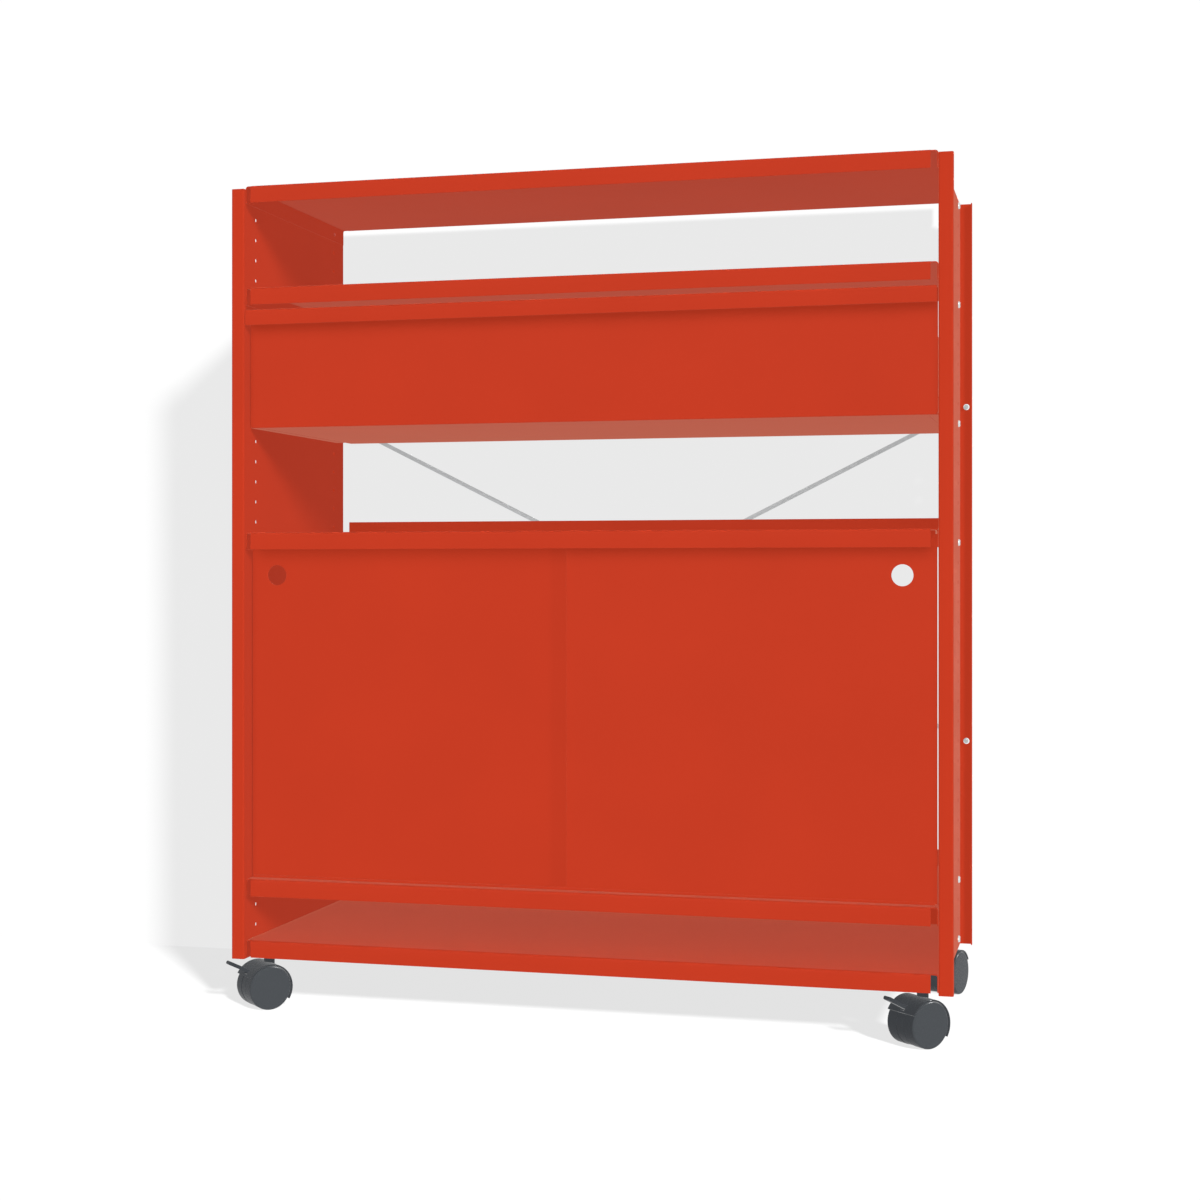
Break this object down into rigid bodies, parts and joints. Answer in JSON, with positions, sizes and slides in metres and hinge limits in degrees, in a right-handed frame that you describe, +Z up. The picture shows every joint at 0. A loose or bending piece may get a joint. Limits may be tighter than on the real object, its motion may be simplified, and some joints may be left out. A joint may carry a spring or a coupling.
{
  "type": "shelving unit",
  "caption": "Low open shelving unit of folded red sheet on braked casters, with a full-width drawer, a cabinet with sliding doors and a rear cross brace.",
  "frame": {"origin": "on the floor, at the middle of the whole footprint, casters and brake levers included", "axes": "+X to the right seen from the front, +Y to the back, +Z up; the drawer and doors face -Y"},
  "size_m": [1.0548, 0.4366, 1.238],
  "materials": {
    "red_powder_coat": "orange-red powder coat over aluminium sheet, satin",
    "zinc_steel": "pale zinc plate",
    "brace_steel": "light grey, satin",
    "caster_wheel_plastic": "dark blue-grey, satin",
    "caster_hood_plastic": "dark blue-grey, satin"
  },
  "bodies": {
    "frame": {"bottom_shelf": "red_powder_coat", "cabinet_base_shelf": "red_powder_coat", "cabinet_top_shelf": "red_powder_coat", "front_brace_rod": "brace_steel", "front_left_caster_stem": "zinc_steel", "front_right_caster_stem": "zinc_steel", "left_bottom_shelf_front_screw": "zinc_steel", "left_bottom_shelf_rear_screw": "zinc_steel", "left_cabinet_base_shelf_front_screw": "zinc_steel", "left_cabinet_base_shelf_rear_screw": "zinc_steel", "left_cabinet_top_shelf_front_screw": "zinc_steel", "left_cabinet_top_shelf_rear_screw": "zinc_steel", "left_drawer_rail_screw": "zinc_steel", "left_fixed_rail": "red_powder_coat", "left_panel": "red_powder_coat", "left_top_shelf_front_screw": "zinc_steel", "left_top_shelf_rear_screw": "zinc_steel", "left_upper_shelf_front_screw": "zinc_steel", "left_upper_shelf_rear_screw": "zinc_steel", "lower_door_track": "red_powder_coat", "rear_brace_rod": "brace_steel", "rear_left_caster_stem": "zinc_steel", "rear_right_caster_stem": "zinc_steel", "right_bottom_shelf_front_screw": "zinc_steel", "right_bottom_shelf_rear_screw": "zinc_steel", "right_cabinet_base_shelf_front_screw": "zinc_steel", "right_cabinet_base_shelf_rear_screw": "zinc_steel", "right_cabinet_top_shelf_front_screw": "zinc_steel", "right_cabinet_top_shelf_rear_screw": "zinc_steel", "right_drawer_rail_screw": "zinc_steel", "right_fixed_rail": "red_powder_coat", "right_panel": "red_powder_coat", "right_top_shelf_front_screw": "zinc_steel", "right_top_shelf_rear_screw": "zinc_steel", "right_upper_shelf_front_screw": "zinc_steel", "right_upper_shelf_rear_screw": "zinc_steel", "top_shelf": "red_powder_coat", "upper_door_track": "red_powder_coat", "upper_shelf": "red_powder_coat"},
    "drawer": {"drawer_front": "red_powder_coat", "drawer_tray": "red_powder_coat", "left_moving_rail": "red_powder_coat", "right_moving_rail": "red_powder_coat"},
    "left_door": {"left_door": "red_powder_coat"},
    "right_door": {"right_door": "red_powder_coat"},
    "front_left_brake_lever": {"front_left_brake_lever": "caster_hood_plastic"},
    "front_left_caster": {"front_left_caster_hood": "caster_hood_plastic"},
    "front_left_caster_left_wheel": {"front_left_caster_left_wheel": "caster_wheel_plastic"},
    "front_left_caster_right_wheel": {"front_left_caster_right_wheel": "caster_wheel_plastic"},
    "front_right_brake_lever": {"front_right_brake_lever": "caster_hood_plastic"},
    "front_right_caster": {"front_right_caster_hood": "caster_hood_plastic"},
    "front_right_caster_left_wheel": {"front_right_caster_left_wheel": "caster_wheel_plastic"},
    "front_right_caster_right_wheel": {"front_right_caster_right_wheel": "caster_wheel_plastic"},
    "rear_left_caster": {"rear_left_caster_hood": "caster_hood_plastic"},
    "rear_left_caster_left_wheel": {"rear_left_caster_left_wheel": "caster_wheel_plastic"},
    "rear_left_caster_right_wheel": {"rear_left_caster_right_wheel": "caster_wheel_plastic"},
    "rear_right_caster": {"rear_right_caster_hood": "caster_hood_plastic"},
    "rear_right_caster_left_wheel": {"rear_right_caster_left_wheel": "caster_wheel_plastic"},
    "rear_right_caster_right_wheel": {"rear_right_caster_right_wheel": "caster_wheel_plastic"}
  },
  "joints": [
    {"name": "drawer_slide", "type": "slide", "parent": "frame", "child": "drawer", "axis": [0, -1, 0], "range_m": [0, 0.3]},
    {"name": "right_door_slide", "type": "slide", "parent": "frame", "child": "right_door", "axis": [-1, 0, 0], "range_m": [0, 0.48]},
    {"name": "left_door_slide", "type": "slide", "parent": "frame", "child": "left_door", "axis": [1, 0, 0], "range_m": [0, 0.48]},
    {"name": "front_left_caster_swivel", "type": "hinge", "parent": "frame", "child": "front_left_caster", "pos_m": [-0.47858, -0.16641, 0.1015], "axis": [0, 0, 1], "continuous": true},
    {"name": "front_left_left_wheel_spin", "type": "hinge", "parent": "front_left_caster", "child": "front_left_caster_left_wheel", "pos_m": [-0.48472, -0.17299, 0.032], "axis": [0.7314, -0.682, 0], "continuous": true},
    {"name": "front_left_right_wheel_spin", "type": "hinge", "parent": "front_left_caster", "child": "front_left_caster_right_wheel", "pos_m": [-0.48472, -0.17299, 0.032], "axis": [0.7314, -0.682, 0], "continuous": true},
    {"name": "front_left_brake_press", "type": "hinge", "parent": "front_left_caster", "child": "front_left_brake_lever", "pos_m": [-0.49597, -0.18506, 0.0515], "axis": [0.7314, -0.682, 0], "range_deg": [0, 12]},
    {"name": "front_right_caster_swivel", "type": "hinge", "parent": "frame", "child": "front_right_caster", "pos_m": [0.48342, -0.16641, 0.1015], "axis": [0, 0, 1], "continuous": true},
    {"name": "front_right_left_wheel_spin", "type": "hinge", "parent": "front_right_caster", "child": "front_right_caster_left_wheel", "pos_m": [0.47728, -0.17299, 0.032], "axis": [0.7314, -0.682, 0], "continuous": true},
    {"name": "front_right_right_wheel_spin", "type": "hinge", "parent": "front_right_caster", "child": "front_right_caster_right_wheel", "pos_m": [0.47728, -0.17299, 0.032], "axis": [0.7314, -0.682, 0], "continuous": true},
    {"name": "front_right_brake_press", "type": "hinge", "parent": "front_right_caster", "child": "front_right_brake_lever", "pos_m": [0.46603, -0.18506, 0.0515], "axis": [0.7314, -0.682, 0], "range_deg": [0, 12]},
    {"name": "rear_left_caster_swivel", "type": "hinge", "parent": "frame", "child": "rear_left_caster", "pos_m": [-0.47858, 0.17209, 0.1015], "axis": [0, 0, 1], "continuous": true},
    {"name": "rear_left_left_wheel_spin", "type": "hinge", "parent": "rear_left_caster", "child": "rear_left_caster_left_wheel", "pos_m": [-0.47595, 0.18069, 0.032], "axis": [-0.9563, 0.2924, 0], "continuous": true},
    {"name": "rear_left_right_wheel_spin", "type": "hinge", "parent": "rear_left_caster", "child": "rear_left_caster_right_wheel", "pos_m": [-0.47595, 0.18069, 0.032], "axis": [-0.9563, 0.2924, 0], "continuous": true},
    {"name": "rear_right_caster_swivel", "type": "hinge", "parent": "frame", "child": "rear_right_caster", "pos_m": [0.48342, 0.17209, 0.1015], "axis": [0, 0, 1], "continuous": true},
    {"name": "rear_right_left_wheel_spin", "type": "hinge", "parent": "rear_right_caster", "child": "rear_right_caster_left_wheel", "pos_m": [0.48605, 0.18069, 0.032], "axis": [-0.9563, 0.2924, 0], "continuous": true},
    {"name": "rear_right_right_wheel_spin", "type": "hinge", "parent": "rear_right_caster", "child": "rear_right_caster_right_wheel", "pos_m": [0.48605, 0.18069, 0.032], "axis": [-0.9563, 0.2924, 0], "continuous": true}
  ]
}
